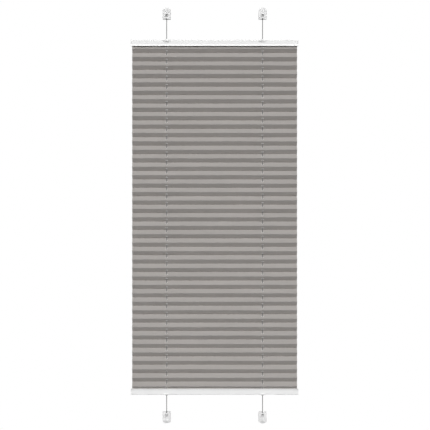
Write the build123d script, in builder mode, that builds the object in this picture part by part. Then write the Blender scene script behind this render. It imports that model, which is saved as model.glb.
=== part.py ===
# A pleated blind on two tensioned cords: an upper and a lower rail slide on cords that four
# shoes hold, and one pleated sheet joins the rails.
# X runs across the width, +Z is up and the front faces -Y. The origin is the middle of the
# whole blind, and both cords run in the plane Y = 0. All sizes are in millimetres.
import os
from math import sqrt

from build123d import *

os.makedirs("parts", exist_ok=True)

# The whole blind
overall_height = 993.0  # tip of the upper shoes to tip of the lower shoes
rail_length = 400.0  # over both end caps
cord_inset = 85.4  # rail end to cord
upper_gap = 49.2  # bare cord between upper shoe and upper rail
lower_gap = 40.8  # bare cord between lower rail and lower shoe
depth_to_mounting_face = 12.0  # cord plane to the flat back of the shoes

# Rail extrusion
rail_height = 14.4
rail_depth = 20.0
rail_wall = 1.3
rail_edge_radius = 0.8
skirt_height = 3.6  # flared part of the wall beside the fabric
skirt_flare = 0.7
slot_width = 8.0  # mouth that the fabric comes out of
rib_depth = 1.5
rib_height = 1.0

# Fabric and the strip that holds its hem in the rail
fabric_inset = 3.0  # rail end to fabric edge
fabric_thickness = 0.3
pleat_face = 20.0  # width of one pleat face along the cloth
pleat_pitch_wanted = 20.16
fabric_entry = 1.05  # straight cloth below the rail before the first pleat
fabric_hole_diameter = 4.0
hem_depth = 6.0
strip_thickness = 1.2
strip_end_gap = 1.0

# End caps
cap_thickness = 3.0
cap_plug_length = 8.0
cap_edge_radius = 0.9

# Cord guides and the pins that the cord turns on
collar_width = 19.0
collar_height = 3.0
collar_overhang = 2.0  # how far its bowed front stands out before the rail
collar_back_overhang = 1.2  # behind it, where the mounting face leaves less room
collar_edge_radius = 0.6
guide_width = 15.0
bead_base_radius = 4.6  # the raised bead on the collar that the cord leaves through
bead_tip_radius = 2.4
bead_height = 2.2
bead_edge_radius = 0.4
pin_diameter = 2.0
funnel_radius = 1.7

# Cords
cord_diameter = 1.8
knot_diameter = 3.4
strand_offset = 1.6  # crossing strands lie this far in front of and behind the cord plane

# Shoes
shoe_length = 26.3
shoe_width = 19.2
shoe_front = 8.0  # cord plane to the shoe's front
shoe_split = 2.0  # cord plane to the joint between base and cover
shoe_wall = 1.5
shoe_back_wall = 2.5
shoe_corner_run = 4.2  # how far the outer corners are cut back across the width
shoe_corner_rise = 2.6  # and along the length
shoe_corner_radius = 1.6
shoe_edge_radius = 0.9
tab_length = 1.5
tab_width = 9.0
tab_thickness = 3.5
notch_mouth_width = 5.0
notch_root_width = 2.6
notch_length = 2.4
bridge_length = 2.8  # between the notch and the window
window_width = 5.2
window_length = 7.0
shelf_thickness = 1.5
shelf_width = 12.0
shelf_reach = 3.5  # how far the shelf runs in front of the cord plane
panel_width = 7.4
panel_length = 10.4
panel_height = 0.6
groove_width = 1.2
groove_depth = 0.5
recess_width = 8.0
recess_depth = 0.8
leg_pocket_width = 3.2
leg_pocket_length = 4.6
tongue_thickness = 1.2
tongue_width = 5.0
tongue_reach = 3.0
screw_hole_diameter = 3.6
screw_head_diameter = 6.6
stop_diameter = 5.6
stop_length = 6.6

# Clearances
seat_gap = 0.3  # between a piece and the seat that it lies in loosely
fit_gap = 0.2  # around a plug or a block pushed into the rail
cord_gap = 0.3  # around a cord in a bore
stop_gap = 0.1  # around a cord in its stop
pin_gap = 0.05  # around a pin in its bore

# Places that follow from the sizes above
shoe_inner_z = overall_height / 2 - tab_length - shoe_length
upper_mouth_z = shoe_inner_z - upper_gap - rail_height
lower_mouth_z = -shoe_inner_z + lower_gap + rail_height
cord_x = rail_length / 2 - cord_inset
profile_length = rail_length - 2 * cap_thickness
inner_depth = rail_depth - 2 * rail_wall
strip_channel = 3 * seat_gap + fabric_thickness + strip_thickness
rib_top = rail_wall + strip_channel + rib_height
chamber_floor = rib_top + seat_gap
chamber_roof = rail_height - rail_wall
strand_level = (chamber_floor + rail_height - collar_height) / 2
cord_radius = cord_diameter / 2
fabric_width = rail_length - 2 * fabric_inset
pleated_height = upper_mouth_z - lower_mouth_z - 2 * fabric_entry
pleat_count = round(pleated_height / pleat_pitch_wanted + 0.5)
pleat_pitch = pleated_height / (pleat_count - 0.5)
pleat_depth = sqrt(pleat_face**2 - (pleat_pitch / 2) ** 2)
window_start = notch_length + bridge_length
shelf_level = window_start + shelf_thickness
stop_end = shelf_level + stop_length
knot_level = stop_end + knot_diameter / 2 + stop_gap
screw_level = (stop_end + shoe_length) / 2

ends = {"upper": (1, upper_mouth_z), "lower": (-1, lower_mouth_z)}
hands = {"left": -1, "right": 1}


def profile_plane(side, z):
    """Across a rail: local X is the depth, and local Y points away from the fabric."""
    return Plane(origin=(0, 0, z), x_dir=(0, 1, 0), z_dir=(side, 0, 0))


def cord_plane(side, x, z):
    """Square to a cord, with its normal pointing away from the fabric."""
    return Plane(origin=(x, 0, z), x_dir=(side, 0, 0), z_dir=(0, 0, side))


def front_plane(side, x, y, z):
    """Seen from the front: local Y points away from the fabric, and the normal forwards."""
    return Plane(origin=(x, y, z), x_dir=(side, 0, 0), z_dir=(0, -1, 0))


def save(piece, label):
    piece.part.label = label
    export_step(piece.part, f"parts/{label}.step")


def make_rail(name, side, mouth_z):
    """A powder-coated extrusion with a slot for the fabric and a channel for its strip."""
    half, inner = rail_depth / 2, inner_depth / 2
    with BuildPart() as rail:
        with BuildSketch(profile_plane(side, mouth_z)):
            with BuildLine():
                Polyline(
                    (-half - skirt_flare, 0),
                    (-half, skirt_height),
                    (-half, rail_height),
                    (half, rail_height),
                    (half, skirt_height),
                    (half + skirt_flare, 0),
                    close=True,
                )
            make_face()
            with Locations((0, (rail_wall + chamber_roof) / 2)):
                Rectangle(inner_depth, chamber_roof - rail_wall, mode=Mode.SUBTRACT)
            with Locations((0, rail_wall / 2)):
                Rectangle(slot_width, rail_wall, mode=Mode.SUBTRACT)
            for s in (-1, 1):
                with Locations((s * (inner - rib_depth / 2), rib_top - rib_height / 2)):
                    Rectangle(rib_depth, rib_height)
        extrude(amount=profile_length / 2, both=True)
        far_edges = rail.edges().filter_by(Axis.X).group_by(Axis.Z)[-1 if side > 0 else 0]
        fillet(far_edges, radius=rail_edge_radius)
        for x in (-cord_x, cord_x):
            with BuildSketch(cord_plane(side, x, mouth_z + side * rail_height)):
                Rectangle(collar_width + 2 * fit_gap, rail_depth)
            extrude(amount=-collar_height, mode=Mode.SUBTRACT)
    save(rail, f"{name}_rail")


def make_end_cap(name, side, mouth_z, hand_name, hand):
    """A moulded cap: a flange over the rail's end and a plug in the chamber above the ribs."""
    half = rail_depth / 2
    end_x = hand * profile_length / 2
    outward = Plane(origin=(end_x, 0, mouth_z), x_dir=(0, hand * side, 0), z_dir=(hand, 0, 0))
    with BuildPart() as cap:
        with BuildSketch(outward):
            with BuildLine():
                Polyline(
                    (-half - skirt_flare, 0),
                    (-half, skirt_height),
                    (-half, rail_height),
                    (half, rail_height),
                    (half, skirt_height),
                    (half + skirt_flare, 0),
                    close=True,
                )
            make_face()
        extrude(amount=cap_thickness)
        far_edges = cap.edges().filter_by(Axis.X).group_by(Axis.Z)[-1 if side > 0 else 0]
        fillet(far_edges, radius=rail_edge_radius)
        fillet(cap.faces().sort_by(Axis.X)[-1 if hand > 0 else 0].edges(), radius=cap_edge_radius)
        with BuildSketch(outward):
            with Locations((0, (chamber_floor + chamber_roof - fit_gap) / 2)):
                Rectangle(inner_depth - 2 * fit_gap, chamber_roof - fit_gap - chamber_floor)
        extrude(amount=-cap_plug_length)
    save(cap, f"{name}_end_cap_{hand_name}")


def make_guide(name, side, mouth_z, hand_name, hand):
    """A moulded cord guide: a collar bowed at the front, a bead, and a block with the cord's bore."""
    x = hand * cord_x
    top_z = mouth_z + side * rail_height
    tip_z = top_z + side * bead_height
    outermost = -1 if side > 0 else 0
    block_height = rail_height - collar_height - chamber_floor
    pin_x = cord_radius + cord_gap + pin_diameter / 2
    half, front, back = collar_width / 2, -rail_depth / 2, rail_depth / 2 + collar_back_overhang
    with BuildPart() as guide:
        with BuildSketch(cord_plane(side, x, top_z)):
            with BuildLine():
                ThreePointArc((-half, front), (0, front - collar_overhang), (half, front))
                Polyline((half, front), (half, back), (-half, back), (-half, front))
            make_face()
        extrude(amount=-collar_height)
        outer_face = guide.faces().sort_by(Axis.Z)[outermost]
        fillet(outer_face.edges(), radius=collar_edge_radius)
        with Locations(cord_plane(side, x, top_z + side * bead_height / 2)):
            Cone(bead_base_radius, bead_tip_radius, bead_height)
        tip_face = guide.faces().sort_by(Axis.Z)[outermost]
        fillet(tip_face.edges(), radius=bead_edge_radius)
        with BuildSketch(cord_plane(side, x, top_z - side * collar_height)):
            Rectangle(guide_width, inner_depth - 2 * fit_gap)
        extrude(amount=-block_height)
        with Locations(cord_plane(side, x, tip_z)):
            CounterSinkHole(cord_radius + cord_gap, funnel_radius, counter_sink_angle=90)
        level = (x, 0, mouth_z + side * strand_level)
        with BuildSketch(Plane(origin=level, x_dir=(1, 0, 0), z_dir=(0, -1, 0))):
            with Locations((-hand * pin_x, 0)):
                Circle(pin_diameter / 2 + pin_gap)
        extrude(amount=inner_depth / 2, both=True, mode=Mode.SUBTRACT)
        with BuildSketch(Plane(origin=level, x_dir=(0, 1, 0), z_dir=(-hand, 0, 0))):
            with Locations((-strand_offset, 0), (strand_offset, 0)):
                Circle(cord_radius + stop_gap)
        extrude(amount=guide_width / 2, mode=Mode.SUBTRACT)
    save(guide, f"{name}_cord_guide_{hand_name}")


def make_pin(name, side, mouth_z, hand_name, hand):
    """A steel pin through the guide, beside the cord, that the cord turns on."""
    x = hand * (cord_x - cord_radius - cord_gap - pin_diameter / 2)
    level = (x, 0, mouth_z + side * strand_level)
    with BuildPart() as pin:
        with BuildSketch(Plane(origin=level, x_dir=(1, 0, 0), z_dir=(0, -1, 0))):
            Circle(pin_diameter / 2)
        extrude(amount=inner_depth / 2 - fit_gap, both=True)
    save(pin, f"{name}_guide_pin_{hand_name}")


def make_strand(name, side, mouth_z, place_name, y):
    """The stretch of one cord that crosses from guide to guide inside a rail."""
    half_length = cord_x - 2 * cord_radius - cord_gap - pin_diameter
    centre = Plane(origin=(0, y, mouth_z + side * strand_level), x_dir=(0, 1, 0), z_dir=(1, 0, 0))
    with BuildPart() as strand:
        with BuildSketch(centre):
            Circle(cord_radius)
        extrude(amount=half_length, both=True)
    save(strand, f"{name}_crossing_strand_{place_name}")


def make_strip(name, side, mouth_z):
    """A flat plastic strip in the rail's channel that keeps the fabric's hem from pulling out."""
    level = rail_wall + 2 * seat_gap + fabric_thickness + strip_thickness / 2
    with BuildPart() as strip:
        with BuildSketch(profile_plane(side, mouth_z)):
            with Locations((0, level)):
                Rectangle(inner_depth - 2 * seat_gap, strip_thickness)
        extrude(amount=profile_length / 2 - strip_end_gap, both=True)
        for x in (-cord_x, cord_x):
            with Locations(cord_plane(side, x, mouth_z + side * rail_height)):
                Hole(fabric_hole_diameter / 2)
    save(strip, f"{name}_fabric_strip")


def make_fabric():
    """One sheet: a hem in the upper rail, the pleats, and a hem in the lower rail."""
    half = fabric_thickness / 2
    first_z = upper_mouth_z - fabric_entry
    last_z = lower_mouth_z + fabric_entry
    slope = pleat_pitch / pleat_depth / 2
    run = half * pleat_face / (pleat_pitch / 2)
    meet = slope * (run - half)
    hem_near = rail_wall + seat_gap
    hem_far = hem_near + fabric_thickness
    folds = []
    for n in range(2 * pleat_count - 1):
        y = pleat_depth / 2 * (-1 if n % 2 == 0 else 1)
        folds.append((y, first_z - (2 * n + 1) * pleat_pitch / 4))
    front_side = [
        (hem_depth, upper_mouth_z + hem_far),
        (-half, upper_mouth_z + hem_far),
        (-half, first_z + meet),
        *[(y - run, z) for y, z in folds],
        (-half, last_z - meet),
        (-half, lower_mouth_z - hem_far),
        (hem_depth, lower_mouth_z - hem_far),
    ]
    back_side = [
        (hem_depth, upper_mouth_z + hem_near),
        (half, upper_mouth_z + hem_near),
        (half, first_z - meet),
        *[(y + run, z) for y, z in folds],
        (half, last_z + meet),
        (half, lower_mouth_z - hem_near),
        (hem_depth, lower_mouth_z - hem_near),
    ]
    with BuildPart() as fabric:
        with BuildSketch(Plane.YZ):
            with BuildLine():
                Polyline(*front_side, *reversed(back_side), close=True)
            make_face()
        extrude(amount=fabric_width / 2, both=True)
        with BuildSketch(Plane.XY.offset(lower_mouth_z - rail_height)):
            with Locations((-cord_x, 0), (cord_x, 0)):
                Circle(fabric_hole_diameter / 2)
        extrude(amount=upper_mouth_z - lower_mouth_z + 2 * rail_height, mode=Mode.SUBTRACT)
    save(fabric, "pleated_fabric")


def shoe_outline(inset):
    """The shoe's front view, from its cord end at Y = 0 to its cut-back outer corners."""
    half = shoe_width / 2 - inset
    far = shoe_length - inset
    shoulder = shoe_length - shoe_corner_rise - inset / 2
    run = half - shoe_corner_run
    return [(-half, inset), (-half, shoulder), (-run, far), (run, far), (half, shoulder), (half, inset)]


def make_shoe_base(name, side, hand_name, hand):
    """The rear shell: the flat back with its screw hole, and the shelf that the stop pulls on."""
    x, inner_z = hand * cord_x, side * shoe_inner_z
    back_y = depth_to_mounting_face
    reach = back_y - shoe_back_wall - shoe_split
    shelf_back = back_y - shoe_back_wall
    rim = shoe_width / 2 - shoe_wall
    with BuildPart() as base:
        with BuildSketch(front_plane(side, x, back_y, inner_z)) as outline:
            with BuildLine():
                Polyline(*shoe_outline(0), close=True)
            make_face()
            fillet(outline.vertices(), radius=shoe_corner_radius)
        extrude(amount=back_y - shoe_split)
        with BuildSketch(front_plane(side, x, shelf_back, inner_z)):
            with BuildLine():
                Polyline(*shoe_outline(shoe_wall), close=True)
            make_face()
        extrude(amount=reach, mode=Mode.SUBTRACT)
        with BuildSketch(front_plane(side, x, shelf_back, inner_z)):
            with Locations((0, window_start + shelf_thickness / 2)):
                Rectangle(shelf_width, shelf_thickness)
        extrude(amount=shelf_back + shelf_reach)
        with BuildSketch(front_plane(side, x, shoe_split + tongue_reach, inner_z)):
            for s in (-1, 1):
                with Locations((s * (rim - tongue_thickness / 2), shoe_length / 2)):
                    Rectangle(tongue_thickness, tongue_width)
        extrude(amount=tongue_reach)
        with BuildSketch(front_plane(side, x, shoe_split + tongue_reach / 2, inner_z)):
            for s in (-1, 1):
                with Locations((s * (rim - fit_gap - tongue_thickness / 2), shoe_length / 2)):
                    Rectangle(tongue_thickness, tongue_width)
        extrude(amount=1.5 * tongue_reach)
        with Locations(cord_plane(side, x, inner_z + side * shelf_level)):
            Hole(cord_radius + cord_gap, depth=shelf_level)
        with Locations(front_plane(side, x, shelf_back, inner_z)):
            with Locations((0, screw_level)):
                CounterSinkHole(screw_hole_diameter / 2, screw_head_diameter / 2, counter_sink_angle=90)
    save(base, f"{name}_shoe_base_{hand_name}")


def make_shoe_cover(name, side, hand_name, hand):
    """The front shell: notch and window over the cord, a raised panel, grooves and a tab."""
    x, inner_z = hand * cord_x, side * shoe_inner_z
    front_y = -shoe_front
    panel_start = window_start + window_length
    groove_length = panel_start + panel_length - window_start
    recess_start = panel_start + panel_length
    leg_pocket_x = shoe_width / 2 - shoe_wall - leg_pocket_width / 2
    with BuildPart() as cover:
        with BuildSketch(front_plane(side, x, shoe_split, inner_z)) as outline:
            with BuildLine():
                Polyline(*shoe_outline(0), close=True)
            make_face()
            fillet(outline.vertices(), radius=shoe_corner_radius)
        extrude(amount=shoe_front + shoe_split)
        fillet(cover.faces().sort_by(Axis.Y)[0].edges(), radius=shoe_edge_radius)
        with BuildSketch(front_plane(side, x, shoe_split, inner_z)):
            with BuildLine():
                Polyline(*shoe_outline(shoe_wall), close=True)
            make_face()
        extrude(amount=shoe_front + shoe_split - shoe_wall, mode=Mode.SUBTRACT)
        with BuildSketch(front_plane(side, x, front_y, inner_z)):
            with Locations((0, panel_start + panel_length / 2)):
                RectangleRounded(panel_width, panel_length, panel_height)
        extrude(amount=panel_height)
        with BuildSketch(front_plane(side, x, shoe_split, inner_z)):
            with BuildLine():
                Polyline(
                    (-notch_mouth_width / 2, -shoe_wall),
                    (-notch_root_width / 2, notch_length),
                    (notch_root_width / 2, notch_length),
                    (notch_mouth_width / 2, -shoe_wall),
                    close=True,
                )
            make_face()
            with Locations((0, window_start + window_length / 2)):
                Rectangle(window_width, window_length)
        extrude(amount=shoe_front + shoe_split, mode=Mode.SUBTRACT)
        with BuildSketch(front_plane(side, x, front_y + groove_depth, inner_z)):
            for s in (-1, 1):
                with Locations((s * (panel_width / 2 + groove_width), window_start + groove_length / 2)):
                    Rectangle(groove_width, groove_length)
                with Locations((s * leg_pocket_x, leg_pocket_length / 2)):
                    Rectangle(leg_pocket_width, leg_pocket_length)
        extrude(amount=groove_depth, mode=Mode.SUBTRACT)
        with BuildSketch(front_plane(side, x, front_y + recess_depth, inner_z)):
            with Locations((0, (recess_start + shoe_length) / 2)):
                Rectangle(recess_width, shoe_length - recess_start)
        extrude(amount=recess_depth, mode=Mode.SUBTRACT)
        with BuildSketch(front_plane(side, x, front_y + recess_depth + tab_thickness, inner_z)):
            with Locations((0, shoe_length)):
                Rectangle(tab_width, 2 * tab_length)
        extrude(amount=tab_thickness)
    save(cover, f"{name}_shoe_cover_{hand_name}")


def make_cord_stop(name, side, hand_name, hand):
    """A ferrule on the cord's end, which rests on the shelf."""
    x, inner_z = hand * cord_x, side * shoe_inner_z
    with BuildPart() as stop:
        with BuildSketch(cord_plane(side, x, inner_z + side * shelf_level)):
            Circle(stop_diameter / 2)
            Circle(cord_radius + stop_gap, mode=Mode.SUBTRACT)
        extrude(amount=stop_length)
        chamfer(stop.edges().group_by(Axis.Z)[-1 if side > 0 else 0], length=stop_diameter / 12)
    save(stop, f"{name}_cord_stop_{hand_name}")


def make_cord(hand_name, hand):
    """A taut cord from the knot in the upper shoe to the knot in the lower shoe."""
    end_z = shoe_inner_z + knot_level
    with BuildPart() as cord:
        with BuildSketch(Plane.XY.offset(-end_z)):
            with Locations((hand * cord_x, 0)):
                Circle(cord_radius)
        extrude(amount=2 * end_z)
        with Locations((hand * cord_x, 0, -end_z), (hand * cord_x, 0, end_z)):
            Sphere(knot_diameter / 2)
    save(cord, f"cord_{hand_name}")


for name, (side, mouth_z) in ends.items():
    make_rail(name, side, mouth_z)
    make_strip(name, side, mouth_z)
    for place_name, y in {"front": -strand_offset, "back": strand_offset}.items():
        make_strand(name, side, mouth_z, place_name, y)
    for hand_name, hand in hands.items():
        make_end_cap(name, side, mouth_z, hand_name, hand)
        make_guide(name, side, mouth_z, hand_name, hand)
        make_pin(name, side, mouth_z, hand_name, hand)
        make_shoe_base(name, side, hand_name, hand)
        make_shoe_cover(name, side, hand_name, hand)
        make_cord_stop(name, side, hand_name, hand)
for hand_name, hand in hands.items():
    make_cord(hand_name, hand)
make_fabric()
print("pleats", pleat_count, "pitch", round(pleat_pitch, 3), "depth", round(pleat_depth, 3))
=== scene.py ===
from math import ceil, cos, radians, sin, sqrt, tau

import bpy
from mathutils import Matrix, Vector, noise


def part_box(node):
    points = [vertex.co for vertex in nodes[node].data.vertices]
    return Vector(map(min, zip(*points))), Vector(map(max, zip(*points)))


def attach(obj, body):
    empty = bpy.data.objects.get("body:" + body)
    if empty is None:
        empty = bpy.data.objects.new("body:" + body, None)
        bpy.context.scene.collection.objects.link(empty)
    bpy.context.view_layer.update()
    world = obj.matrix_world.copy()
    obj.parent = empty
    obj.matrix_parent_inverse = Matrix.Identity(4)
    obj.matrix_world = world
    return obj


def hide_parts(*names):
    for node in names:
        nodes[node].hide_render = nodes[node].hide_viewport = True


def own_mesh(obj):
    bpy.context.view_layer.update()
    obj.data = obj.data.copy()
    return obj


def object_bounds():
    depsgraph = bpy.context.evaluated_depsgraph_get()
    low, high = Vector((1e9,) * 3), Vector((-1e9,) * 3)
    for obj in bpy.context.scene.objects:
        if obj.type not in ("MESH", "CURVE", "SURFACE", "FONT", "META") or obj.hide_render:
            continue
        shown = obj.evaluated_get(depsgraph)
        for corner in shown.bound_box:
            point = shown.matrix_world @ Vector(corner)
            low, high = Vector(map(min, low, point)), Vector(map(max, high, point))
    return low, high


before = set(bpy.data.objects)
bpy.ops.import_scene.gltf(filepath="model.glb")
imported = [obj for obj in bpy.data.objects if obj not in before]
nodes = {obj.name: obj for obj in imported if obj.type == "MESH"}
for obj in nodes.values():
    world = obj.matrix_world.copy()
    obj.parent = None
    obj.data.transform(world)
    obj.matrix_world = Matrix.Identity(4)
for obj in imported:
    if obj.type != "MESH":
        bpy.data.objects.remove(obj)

cad_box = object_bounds()
MM = 0.001

# ---------------------------------------------------------------- places, all read from the frame
upper_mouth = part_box("upper_rail")[0].z
lower_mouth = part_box("lower_rail")[1].z
cord_low, cord_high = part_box("cord_right")
fabric_low, fabric_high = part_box("pleated_fabric")
strand_low, strand_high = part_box("upper_crossing_strand_front")
guide_low, guide_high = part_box("upper_cord_guide_right")

cord_x = (guide_low.x + guide_high.x) / 2
cord_radius = (strand_high.z - strand_low.z) / 2
knot_radius = (cord_high.x - cord_low.x) / 2
fabric_width = fabric_high.x - fabric_low.x
open_height = upper_mouth - lower_mouth

# ---------------------------------------------------------------- the cloth's own sizes
CLOTH_THICKNESS = 0.3 * MM
FACE = 20.0 * MM  # one pleat has two faces
PLEATS = 41
ENTRY = 1.05 * MM  # straight cloth between a rail's mouth and the first fold line
HEM_RISE = 1.75 * MM  # into the rail's slot
HEM_DEPTH = 6.0 * MM  # then laid back under the strip
HEM_TURN = 0.4 * MM
FOLD_ROUND = 0.15 * MM  # each fold's rounding, on either side of its corner
FOLD_EDGE_SHADE = 0.4  # how strongly the painted fold-line shade shows at the rounding's two ends
HOLE_HALF_WIDTH = 2.0 * MM
HOLE_SIDES = 16
PATCH_HALF = 6.0 * MM  # half the width of the faces drawn around a hole
COLUMN_STEP = 6.5 * MM
CALM_LENGTH = 2 * FACE  # near the rails the cloth lies true
SHARP_FOLD = radians(25)
PITCH = (open_height - 2 * ENTRY) / (PLEATS - 0.5)
DEPTH = sqrt(FACE**2 - (PITCH / 2) ** 2)


# ---------------------------------------------------------------- shader nodes
def new_material(name):
    material = bpy.data.materials.new(name)
    material.use_nodes = True
    tree = material.node_tree
    shader = tree.nodes["Principled BSDF"]
    return material, tree, shader


def add(tree, kind, **settings):
    made = tree.nodes.new(kind)
    for key, value in settings.items():
        setattr(made, key, value)
    return made


def link(tree, source, target):
    tree.links.new(source, target)


def noise_value(tree, vector, scale, detail, roughness=0.55):
    made = add(tree, "ShaderNodeTexNoise")
    made.inputs["Scale"].default_value = scale
    made.inputs["Detail"].default_value = detail
    made.inputs["Roughness"].default_value = roughness
    link(tree, vector, made.inputs["Vector"])
    return made.outputs["Fac"]


def stretched(tree, vector, scale):
    made = add(tree, "ShaderNodeMapping")
    made.inputs["Scale"].default_value = scale
    link(tree, vector, made.inputs["Vector"])
    return made.outputs["Vector"]


def ranged(tree, value, low, high, from_low=0.0, from_high=1.0):
    made = add(tree, "ShaderNodeMapRange")
    made.inputs["From Min"].default_value = from_low
    made.inputs["From Max"].default_value = from_high
    made.inputs["To Min"].default_value = low
    made.inputs["To Max"].default_value = high
    link(tree, value, made.inputs["Value"])
    return made.outputs["Result"]


def varied(tree, value, low, high):
    """Noise, which lies mostly between 0.3 and 0.7, spread from low to high."""
    return ranged(tree, value, low, high, from_low=0.3, from_high=0.7)


def maths(tree, operation, first, second=None):
    made = add(tree, "ShaderNodeMath", operation=operation)
    for socket, value in zip(made.inputs, (first, second)):
        if value is None:
            continue
        if isinstance(value, (int, float)):
            socket.default_value = value
        else:
            link(tree, value, socket)
    return made.outputs["Value"]


def product(tree, first, *others):
    for other in others:
        first = maths(tree, "MULTIPLY", first, other)
    return first


def tinted(tree, colour, factor):
    """colour times factor, a value that varies about 1."""
    made = add(tree, "ShaderNodeMix", data_type="RGBA", blend_type="MULTIPLY")
    made.inputs["Factor"].default_value = 1.0
    made.inputs["A"].default_value = (*colour, 1)
    link(tree, factor, made.inputs["B"])
    return made.outputs["Result"]


def bump(tree, height, distance, strength, below=None):
    made = add(tree, "ShaderNodeBump")
    made.inputs["Distance"].default_value = distance
    made.inputs["Strength"].default_value = strength
    link(tree, height, made.inputs["Height"])
    if below is not None:
        link(tree, below, made.inputs["Normal"])
    return made.outputs["Normal"]


# ---------------------------------------------------------------- materials
def powder_coat():
    """White coating with a faint orange peel."""
    material, tree, shader = new_material("powder_coat")
    place = add(tree, "ShaderNodeTexCoord").outputs["Object"]
    peel = noise_value(tree, place, scale=1400, detail=2)
    cloud = noise_value(tree, place, scale=18, detail=3)
    shade = varied(tree, cloud, 0.985, 1.01)
    normal = bump(tree, peel, distance=0.02 * MM, strength=0.12)
    link(tree, tinted(tree, (0.745, 0.747, 0.745), shade), shader.inputs["Base Color"])
    link(tree, ranged(tree, cloud, 0.38, 0.46), shader.inputs["Roughness"])
    link(tree, normal, shader.inputs["Normal"])
    shader.inputs["Specular IOR Level"].default_value = 0.45
    return material


def moulded_plastic(name, colour, roughness):
    """Plastic with a fine spark-eroded grain, that lets a little light in."""
    material, tree, shader = new_material(name)
    place = add(tree, "ShaderNodeTexCoord").outputs["Object"]
    grain = noise_value(tree, place, scale=2600, detail=2)
    cloud = noise_value(tree, place, scale=60, detail=3)
    shade = varied(tree, cloud, 0.98, 1.01)
    gloss = ranged(tree, cloud, roughness - 0.04, roughness + 0.05)
    normal = bump(tree, grain, distance=0.015 * MM, strength=0.1)
    link(tree, tinted(tree, colour, shade), shader.inputs["Base Color"])
    link(tree, gloss, shader.inputs["Roughness"])
    link(tree, normal, shader.inputs["Normal"])
    shader.inputs["Subsurface Weight"].default_value = 0.35
    shader.inputs["Subsurface Radius"].default_value = (1, 1, 1)
    shader.inputs["Subsurface Scale"].default_value = 3 * MM
    return material


def woven_cloth(name, painted_stack_glow):
    """Fine plain weave that follows the cloth, with slubs along the weft, and a slight darkening on each
    fold line that is partly a pressed crease and partly painted shade toning down the lit crests.

    Painted light: once the stack is gathered its faces lie nearly level and glow a little by emission,
    which stands in for light that no lamp brings there.
    """
    material, tree, shader = new_material(name)
    cloth = add(tree, "ShaderNodeUVMap", uv_map="cloth").outputs["UV"]
    split = add(tree, "ShaderNodeSeparateXYZ")
    link(tree, cloth, split.inputs["Vector"])
    threads_per_metre = 1 / (0.42 * MM)
    weft = maths(tree, "SINE", maths(tree, "MULTIPLY", split.outputs["Y"], tau * threads_per_metre))
    warp = maths(tree, "SINE", maths(tree, "MULTIPLY", split.outputs["X"], tau * threads_per_metre))
    weave = maths(tree, "MULTIPLY", weft, warp)
    slub = noise_value(tree, stretched(tree, cloth, (45, 900, 1)), scale=1, detail=3)
    fibre = noise_value(tree, stretched(tree, cloth, (500, 2600, 1)), scale=1, detail=2)
    cloud = noise_value(tree, stretched(tree, cloth, (7, 22, 1)), scale=1, detail=3)
    fold = add(tree, "ShaderNodeAttribute", attribute_name="fold").outputs["Fac"]
    # the last factor is painted shade: up to 3 % darker on each fold line, partly a pressed crease and
    # partly toning down the lit crest
    shade = product(
        tree,
        varied(tree, slub, 0.95, 1.05),
        varied(tree, cloud, 0.97, 1.03),
        varied(tree, fibre, 0.95, 1.05),
        ranged(tree, fold, 1.0, 0.97),
    )
    coarse = bump(tree, slub, distance=0.03 * MM, strength=0.5)
    normal = bump(tree, weave, distance=0.02 * MM, strength=0.35, below=coarse)
    link(tree, tinted(tree, (0.433, 0.412, 0.395), shade), shader.inputs["Base Color"])
    link(tree, normal, shader.inputs["Normal"])
    shader.inputs["Roughness"].default_value = 0.86
    shader.inputs["Specular IOR Level"].default_value = 0.25
    shader.inputs["Sheen Weight"].default_value = 0.12
    shader.inputs["Sheen Roughness"].default_value = 0.45
    if painted_stack_glow:
        # painted light: emission up to 0.14 on faces that lie nearly level, so the gathered stack glows
        # instead of lying in shade
        facing = add(tree, "ShaderNodeSeparateXYZ")
        link(tree, add(tree, "ShaderNodeNewGeometry").outputs["True Normal"], facing.inputs["Vector"])
        level = maths(tree, "ABSOLUTE", facing.outputs["Z"])
        glow = ranged(tree, level, 0.0, 0.14, from_low=0.95, from_high=0.99)
        link(tree, glow, shader.inputs["Emission Strength"])
        shader.inputs["Emission Color"].default_value = (1.0, 0.96, 0.93, 1)
    return material


def braided_cord():
    """Grey braid with painted shade: darker where a strand dips under, lighter where it lies on top."""
    material, tree, shader = new_material("braided_cord")
    around = add(tree, "ShaderNodeUVMap", uv_map="cord").outputs["UV"]
    fibre = noise_value(tree, stretched(tree, around, (40, 1500, 1)), scale=1, detail=3)
    strand = add(tree, "ShaderNodeAttribute", attribute_name="strand").outputs["Fac"]
    # painted shade: darker where the braid's surface dips between strands, lighter where it rises
    shade = product(tree, ranged(tree, strand, 0.72, 1.12), varied(tree, fibre, 0.9, 1.1))
    normal = bump(tree, fibre, distance=0.03 * MM, strength=0.6)
    link(tree, tinted(tree, (0.165, 0.164, 0.162), shade), shader.inputs["Base Color"])
    link(tree, normal, shader.inputs["Normal"])
    shader.inputs["Roughness"].default_value = 0.7
    shader.inputs["Sheen Weight"].default_value = 0.1
    return material


def ground_steel():
    material, tree, shader = new_material("ground_steel")
    place = add(tree, "ShaderNodeTexCoord").outputs["Object"]
    lines = noise_value(tree, stretched(tree, place, (4000, 60, 4000)), scale=1, detail=2)
    shade = ranged(tree, lines, 0.92, 1.05)
    link(tree, tinted(tree, (0.6, 0.6, 0.61), shade), shader.inputs["Base Color"])
    link(tree, ranged(tree, lines, 0.22, 0.38), shader.inputs["Roughness"])
    shader.inputs["Metallic"].default_value = 1.0
    return material


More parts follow.
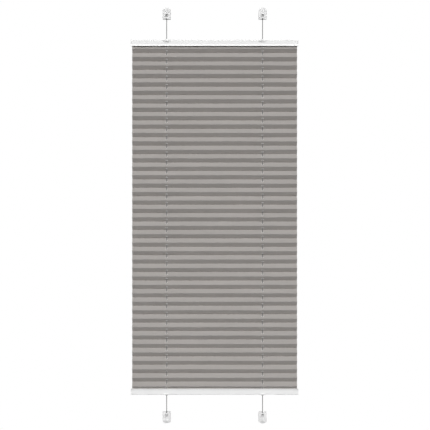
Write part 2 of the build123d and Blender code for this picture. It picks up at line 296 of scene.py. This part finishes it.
def pale_floor():
    """Matt floor that shows a little brighter than it lights the blind."""
    material, tree, shader = new_material("pale_floor")
    place = add(tree, "ShaderNodeTexCoord").outputs["Object"]
    cloud = noise_value(tree, place, scale=3, detail=3)
    shade = ranged(tree, cloud, 0.99, 1.01)
    seen = add(tree, "ShaderNodeLightPath").outputs["Is Camera Ray"]
    link(tree, tinted(tree, (0.70, 0.70, 0.70), shade), shader.inputs["Base Color"])
    link(tree, maths(tree, "MULTIPLY", seen, 0.35), shader.inputs["Emission Strength"])
    shader.inputs["Roughness"].default_value = 0.9
    return material


RAIL = powder_coat()
CAP = moulded_plastic("cap_plastic", colour=(0.75, 0.75, 0.75), roughness=0.42)
WHITE = moulded_plastic("white_plastic", colour=(0.72, 0.72, 0.72), roughness=0.34)
STOP = moulded_plastic("stop_plastic", colour=(0.82, 0.82, 0.82), roughness=0.4)
STRIP = moulded_plastic("strip_plastic", colour=(0.55, 0.55, 0.54), roughness=0.4)
CLOTH = woven_cloth("pleated_cloth", painted_stack_glow=True)
HEM_CLOTH = woven_cloth("hem_cloth", painted_stack_glow=False)
CORD = braided_cord()
STEEL = ground_steel()

# ---------------------------------------------------------------- CAD pieces that keep their shape
FINISHES = {
    "_rail": RAIL,
    "end_cap": CAP,
    "cord_guide": WHITE,
    "shoe_base": WHITE,
    "shoe_cover": WHITE,
    "cord_stop": STOP,
    "fabric_strip": STRIP,
    "guide_pin": STEEL,
    "crossing_strand": CORD,
}
for name, node in nodes.items():
    for word, material in FINISHES.items():
        if word in name:
            node.data.materials.clear()
            node.data.materials.append(material)
            break


# ---------------------------------------------------------------- drawn pieces
def new_piece(name, verts, polygons, material):
    mesh = bpy.data.meshes.new(name)
    mesh.from_pydata(verts, [], polygons)
    mesh.materials.append(material)
    piece = bpy.data.objects.new(name, mesh)
    bpy.context.scene.collection.objects.link(piece)
    return piece


def add_uv(piece, name, places):
    layer = piece.data.uv_layers.new(name=name)
    for loop in piece.data.loops:
        layer.data[loop.index].uv = places[loop.vertex_index]


def add_values(piece, name, values):
    attribute = piece.data.attributes.new(name, "FLOAT", "POINT")
    attribute.data.foreach_set("value", values)


def thicken(piece):
    """Give a sheet the cloth's thickness, half of it on either side."""
    solidify = piece.modifiers.new("thickness", "SOLIDIFY")
    solidify.thickness = CLOTH_THICKNESS
    solidify.offset = 0.0
    bpy.context.view_layer.update()
    graph = bpy.context.evaluated_depsgraph_get()
    thick = piece.evaluated_get(graph)
    made = bpy.data.meshes.new_from_object(thick, preserve_all_data_layers=True, depsgraph=graph)
    thin = piece.data
    piece.modifiers.clear()
    piece.data = made
    bpy.data.meshes.remove(thin)
    made.name = piece.name


# ---------------------------------------------------------------- the pleated cloth
def fold_points():
    """The corners of the zigzag as (y, z), from the upper rail's mouth to the lower rail's."""
    points = [(0.0, upper_mouth), (0.0, upper_mouth - ENTRY)]
    for n in range(2 * PLEATS - 1):
        y = DEPTH / 2 * (-1 if n % 2 == 0 else 1)
        points.append((y, upper_mouth - ENTRY - (2 * n + 1) * PITCH / 4))
    points += [(0.0, lower_mouth + ENTRY), (0.0, lower_mouth)]
    return [Vector(p) for p in points]


def rounded_rows(corners):
    """Rows down the cloth as (point, distance along the cloth, strength of the painted shade on the fold
    line).

    Also the number of the row above each flat face's middle row, where the holes go.
    """
    rows = [(corners[0], 0.0, 0.0)]
    faces = []
    along = 0.0
    for before, corner, after in zip(corners, corners[1:], corners[2:]):
        to = corner - before
        off = after - corner
        arrive = corner - to.normalized() * FOLD_ROUND
        leave = corner + off.normalized() * FOLD_ROUND
        along += to.length
        rows.append((arrive, along - FOLD_ROUND, FOLD_EDGE_SHADE))
        rows.append(((arrive + leave) / 4 + corner / 2, along, 1.0))
        rows.append((leave, along + FOLD_ROUND, FOLD_EDGE_SHADE))
        if off.length > 2 * ENTRY:
            faces.append(len(rows) - 1)
            rows.append(((leave + after) / 2, along + off.length / 2, 0.0))
    along += (corners[-1] - corners[-2]).length
    rows.append((corners[-1], along, 0.0))
    return rows, faces


def columns():
    """Columns across the cloth, with three about each cord for the patch that holds its holes."""
    half = fabric_width / 2
    inner, outer = cord_x - PATCH_HALF, cord_x + PATCH_HALF
    edges = [-half, -outer, -inner, inner, outer, half]
    xs = []
    for n, (a, b) in enumerate(zip(edges, edges[1:])):
        holds_holes = n in (1, 3)
        count = 2 if holds_holes else ceil((b - a) / COLUMN_STEP)
        xs += [a + (b - a) * k / count for k in range(count)]
    return xs + [half]


def wander(x, along):
    """How far the cloth strays from its drawn place: soft waves that differ from pleat to pleat."""

    def wave(size, across, down, seed):
        return size * noise.noise(Vector((x * across, along * down, seed)))

    depth = wave(0.25 * MM, across=9, down=31, seed=0.3) + wave(0.08 * MM, across=34, down=60, seed=7.1)
    return Vector((0, depth, wave(0.22 * MM, across=7, down=27, seed=3.7)))


def build_cloth():
    rows, faces = rounded_rows(fold_points())
    xs = columns()
    total = rows[-1][1]
    verts, uvs, fold_shades = [], [], []

    def place(x, y, z, along, fold):
        calm = min(1.0, along / CALM_LENGTH, (total - along) / CALM_LENGTH)
        verts.append(Vector((x, y, z)) + wander(x, along) * calm)
        uvs.append((x, along))
        fold_shades.append(fold)
        return len(verts) - 1

    grid = [[place(x, p.x, p.y, along, fold) for x in xs] for p, along, fold in rows]
    patches = {(r, xs.index(min(xs, key=lambda x: abs(x - c)))) for r in faces for c in (-cord_x, cord_x)}
    skipped = {(r + dr, c + dc) for r, c in patches for dr in (0, 1) for dc in (-1, 0)}
    polygons = []
    for r in range(len(rows) - 1):
        for c in range(len(xs) - 1):
            if (r, c) not in skipped:
                polygons.append((grid[r][c], grid[r + 1][c], grid[r + 1][c + 1], grid[r][c + 1]))

    # each patch takes the place of four cells, and its hole is round as seen along the cord
    half_length = HOLE_HALF_WIDTH * FACE / DEPTH
    for r, c in sorted(patches):
        top, along_top, _ = rows[r]
        low, along_low, _ = rows[r + 2]
        middle = (top + low) / 2
        along_middle = (along_top + along_low) / 2
        down = (low - top).normalized()
        ring = []
        for k in range(HOLE_SIDES):
            angle = tau * k / HOLE_SIDES
            x = xs[c] - HOLE_HALF_WIDTH * sin(angle)
            step = -half_length * cos(angle)
            p = middle + down * step
            ring.append(place(x, p.x, p.y, along_middle + step, 0.0))
        around = [
            grid[r][c], grid[r][c - 1], grid[r + 1][c - 1], grid[r + 2][c - 1],
            grid[r + 2][c], grid[r + 2][c + 1], grid[r + 1][c + 1], grid[r][c + 1],
        ]
        for k in range(len(around)):
            a, b = around[k], around[(k + 1) % len(around)]
            first, between, last = (ring[(2 * k + m) % HOLE_SIDES] for m in (0, 1, 2))
            polygons.append((a, b, last, between, first))

    cloth = new_piece("pleated_cloth", verts, polygons, CLOTH)
    add_uv(cloth, "cloth", uvs)
    add_values(cloth, "fold", fold_shades)
    thicken(cloth)
    cloth.data.set_sharp_from_angle(angle=SHARP_FOLD)
    return cloth, total


def build_hem(name, side, mouth, along):
    """The cloth inside a rail: up through the slot, then laid back under the strip."""
    turn_middle = HEM_TURN * 0.3
    path = [
        (0, 0),
        (0, HEM_RISE - HEM_TURN),
        (turn_middle, HEM_RISE - turn_middle),
        (HEM_TURN, HEM_RISE),
        (HEM_DEPTH, HEM_RISE),
    ]
    xs = columns()
    verts = [(x, y, mouth + side * rise) for y, rise in path for x in xs]
    n = len(xs)
    polygons = [
        (r * n + c, r * n + c + 1, (r + 1) * n + c + 1, (r + 1) * n + c)
        for r in range(len(path) - 1) for c in range(n - 1)
    ]
    hem = new_piece(name, verts, polygons, HEM_CLOTH)
    add_uv(hem, "cloth", [(x, along - abs(z - mouth) - y) for x, y, z in verts])
    thicken(hem)
    return hem


cloth, cloth_length = build_cloth()
hems = []
for end, side, mouth, along in (("upper", 1, upper_mouth, 0.0), ("lower", -1, lower_mouth, cloth_length)):
    hem = build_hem(f"{end}_hem", side, mouth, along)
    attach(hem, f"{end}_rail_body")
    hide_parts("pleated_fabric")
    hems.append(hem)
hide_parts("pleated_fabric")
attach(cloth, "upper_rail_body")
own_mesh(cloth)


# ---------------------------------------------------------------- the cords
CORD_SIDES = 12
CORD_RING_STEP = 0.9 * MM
CORD_END_RADIUS = 0.3 * MM
BRAID_PITCH = 5.4 * MM
BRAID_STRANDS = 4


def build_cord(name, x):
    """A round braid with a knot at each end: its surface rises where one family of strands is on top."""
    low, high = cord_low.z, cord_high.z
    rings = ceil((high - low) / CORD_RING_STEP)
    verts, rises, uvs = [], [], []
    for n in range(rings + 1):
        z = low + (high - low) * n / rings
        to_end = min(z - low, high - z)
        in_knot = to_end < 2 * knot_radius
        lump = sqrt(max(0.0, 1 - ((to_end - knot_radius) / knot_radius) ** 2)) if in_knot else 0.0
        for k in range(CORD_SIDES):
            angle = tau * k / CORD_SIDES
            one_way = sin(BRAID_STRANDS * angle + tau * z / BRAID_PITCH)
            other_way = sin(BRAID_STRANDS * angle - tau * z / BRAID_PITCH)
            height = max(one_way, other_way)
            on_braid = cord_radius * (0.93 + 0.07 * height)
            on_knot = knot_radius * lump * (0.95 + 0.05 * height)
            radius = CORD_END_RADIUS if n in (0, rings) else max(on_braid, on_knot)
            verts.append((x + radius * cos(angle), radius * sin(angle), z))
            # the braid's height, kept to paint its shade
            rises.append((height + 1) / 2)
            uvs.append((k / CORD_SIDES, z))
    polygons = []
    for n in range(rings):
        for k in range(CORD_SIDES):
            a = n * CORD_SIDES + k
            b = n * CORD_SIDES + (k + 1) % CORD_SIDES
            polygons.append((a, b, b + CORD_SIDES, a + CORD_SIDES))
    polygons.append(tuple(reversed(range(CORD_SIDES))))
    polygons.append(tuple(rings * CORD_SIDES + k for k in range(CORD_SIDES)))
    cord = new_piece(name, verts, polygons, CORD)
    add_uv(cord, "cord", uvs)
    add_values(cord, "strand", rises)
    cord.data.shade_smooth()
    return cord


cords = []
for hand, x in (("left", -cord_x), ("right", cord_x)):
    cord = build_cord(f"braided_cord_{hand}", x)
    cords.append(cord)
    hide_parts(f"cord_{hand}")
    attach(cord, "mounting")


# ---------------------------------------------------------------- floor, light and camera
def add_floor():
    """Wide and well below the blind, so that neither its edges nor the blind's shadow crowd the blind."""
    side, near, far, drop = 14.0, -14.0, 11.0, 0.9
    level = cad_box[0][2] - drop
    corners = [(-side, near, level), (side, near, level), (side, far, level), (-side, far, level)]
    floor = new_piece("floor", corners, [(0, 1, 2, 3)], pale_floor())
    return floor


def add_world():
    """A white room: seen as pure white, and lighting the blind most from near its own level."""
    world = bpy.data.worlds.new("studio")
    bpy.context.scene.world = world
    world.use_nodes = True
    tree = world.node_tree
    tree.nodes.clear()
    seen = add(tree, "ShaderNodeBackground")
    seen.inputs["Color"].default_value = (1, 1, 1, 1)
    seen.inputs["Strength"].default_value = 1.0
    lit = add(tree, "ShaderNodeBackground")
    lit.inputs["Color"].default_value = (1, 1, 1, 1)
    split = add(tree, "ShaderNodeSeparateXYZ")
    link(tree, add(tree, "ShaderNodeTexCoord").outputs["Generated"], split.inputs["Vector"])
    height = maths(tree, "ABSOLUTE", split.outputs["Z"])
    strength = ranged(tree, height, 0.42, 0.10, from_low=0.35, from_high=0.6)
    link(tree, strength, lit.inputs["Strength"])
    ray = add(tree, "ShaderNodeLightPath")
    mix = add(tree, "ShaderNodeMixShader")
    out = add(tree, "ShaderNodeOutputWorld")
    link(tree, ray.outputs["Is Camera Ray"], mix.inputs["Fac"])
    link(tree, lit.outputs["Background"], mix.inputs[1])
    link(tree, seen.outputs["Background"], mix.inputs[2])
    link(tree, mix.outputs["Shader"], out.inputs["Surface"])


def add_sun(name, strength, elevation, azimuth, softness):
    """A far, soft light. Azimuth 0 shines from the front and 180 from behind."""
    light = bpy.data.lights.new(name, "SUN")
    light.energy = strength
    light.angle = radians(softness)
    sun = bpy.data.objects.new(name, light)
    sun.rotation_euler = (radians(90 - elevation), 0, radians(azimuth))
    bpy.context.scene.collection.objects.link(sun)
    return sun


def light_only(sun, pieces):
    """The light falls on these pieces alone, and every piece still throws its shadow."""
    lit = bpy.data.collections.new(sun.name + "_lit")
    for piece in pieces:
        lit.objects.link(piece)
    sun.light_linking.receiver_collection = lit


def add_camera():
    """Level, square to the blind and far off, as the pleats' nearly even bands show."""
    distance = 7.0
    view_width = 1.0263  # seen across the picture at the blind's front
    picture_middle_x, picture_middle_z = 0.0009, 0.0013
    camera = bpy.data.cameras.new("camera")
    camera.sensor_width = 36
    camera.lens = camera.sensor_width * (distance + cad_box[0][1]) / view_width
    camera.clip_end = 50
    eye = bpy.data.objects.new("camera", camera)
    eye.location = (picture_middle_x, -distance, picture_middle_z)
    eye.rotation_euler = (radians(90), 0, 0)
    bpy.context.scene.collection.objects.link(eye)
    bpy.context.scene.camera = eye


add_world()
floor = add_floor()

# The white pieces and the rest have front lights of their own. The pieces hidden in the rails need none.
white_pieces = [node for node in nodes.values() if node.data.materials[0] in (RAIL, CAP, WHITE, STOP)]
others = [cloth, floor, *hems, *cords]
light_only(add_sun("key", strength=2.5, elevation=24, azimuth=0, softness=12), others)
light_only(add_sun("white_key", strength=1.65, elevation=24, azimuth=0, softness=12), white_pieces)
light_only(add_sun("top", strength=2.4, elevation=70, azimuth=0, softness=7), white_pieces)
back_light = add_sun("back", strength=1.3, elevation=12, azimuth=180, softness=20)
back_light.visible_glossy = False
add_camera()
bpy.context.scene.view_settings.view_transform = "Standard"
